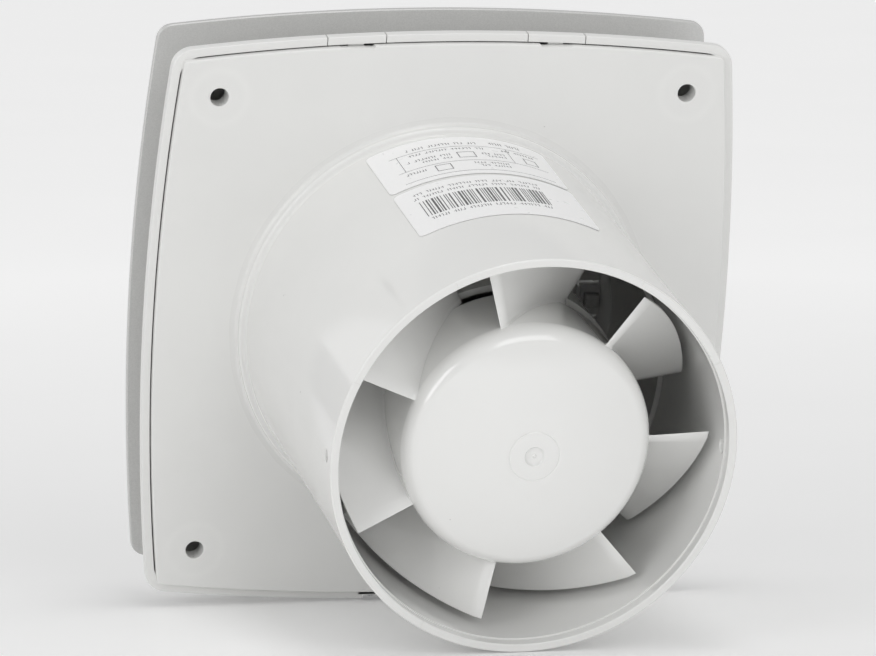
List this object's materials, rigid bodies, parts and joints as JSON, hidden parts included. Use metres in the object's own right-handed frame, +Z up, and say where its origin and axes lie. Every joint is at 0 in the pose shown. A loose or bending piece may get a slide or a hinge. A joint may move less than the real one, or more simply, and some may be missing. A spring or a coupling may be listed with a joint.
{
  "type": "bathroom extractor fan",
  "caption": "Wall-mounted axial extractor fan for a round duct: square bowed back plate and cover, flat front panel on studs, and a bladed impeller on a motor pod in the spigot.",
  "frame": {"origin": "on the duct axis in the plane of the wall, which is the rear face of the back plate", "axes": "+Y out of the duct spigot, away from the room; +Z up as it hangs on a wall; +X to the right as the front panel is faced"},
  "size_m": [0.1498, 0.1225, 0.1503],
  "materials": {
    "housing_abs": "moulded ABS, satin to glossy",
    "cover_abs": "moulded ABS, satin",
    "panel_paint": "matte aluminium-coloured paint on moulded ABS",
    "carrier_abs": "moulded ABS, satin",
    "impeller_abs": "moulded ABS, glossy",
    "lamination": "stacked electrical steel, edges showing",
    "copper": "enamelled copper",
    "nylon": "natural nylon",
    "plunger_plastic": "acetal",
    "fuse_body": "epoxy-sealed tube",
    "zinc_casting": "as cast",
    "bronze": "sintered, oil-filled",
    "brass": "turned",
    "screw_steel": "zinc plated",
    "ground_steel": "ground",
    "cage_aluminium": "die cast",
    "grommet_rubber": "soft rubber",
    "bush_plastic": "acetal",
    "blue_insulation": "PVC insulation",
    "brown_insulation": "PVC insulation",
    "label_paper": null
  },
  "bodies": {
    "casing": {"back_plate": "housing_abs", "duct_spigot": "housing_abs", "front_cover": "cover_abs", "motor_carrier": "carrier_abs", "stator_core": "lamination", "coil_limb": "lamination", "motor_coil": "copper", "shading_rings": "copper", "coil_bobbin": "nylon", "terminal_block": "nylon", "switch_body": "nylon", "switch_lid": "nylon", "cable_clamp": "nylon", "thermal_fuse": "fuse_body", "front_bridge": "zinc_casting", "rear_bridge": "zinc_casting", "front_bearing": "bronze", "rear_bearing": "bronze", "terminal_inserts": "brass", "switch_contacts": "brass", "motor_bolts": "screw_steel", "carrier_screws": "screw_steel", "cover_screw": "screw_steel", "clamp_screws": "screw_steel", "terminal_screws": "screw_steel", "switch_spring": "ground_steel", "cable_grommet": "grommet_rubber", "cord_bush": "bush_plastic", "neutral_lead": "blue_insulation", "switched_lead": "brown_insulation", "live_lead": "brown_insulation", "rating_label": "label_paper", "barcode_label": "label_paper"},
    "rotor": {"impeller": "impeller_abs", "hub_insert": "brass", "rotor_shaft": "ground_steel", "rotor_core": "lamination", "rotor_end_rings": "cage_aluminium", "rotor_spacers": "ground_steel"},
    "panel": {"front_panel": "panel_paint"},
    "plunger": {"switch_plunger": "plunger_plastic"}
  },
  "joints": [
    {"name": "impeller_spin", "type": "hinge", "parent": "casing", "child": "rotor", "pos_m": [0, 0.0435, 0], "axis": [0, 1, 0], "continuous": true},
    {"name": "panel_pull", "type": "slide", "parent": "casing", "child": "panel", "axis": [0, -1, 0], "range_m": [0, 0.03]},
    {"name": "switch_pull", "type": "slide", "parent": "casing", "child": "plunger", "axis": [0, 0, -1], "range_m": [0, 0.003], "stiffness_N_per_m": 400, "springref_m": -0.003, "deforming": ["switch_spring"]}
  ]
}
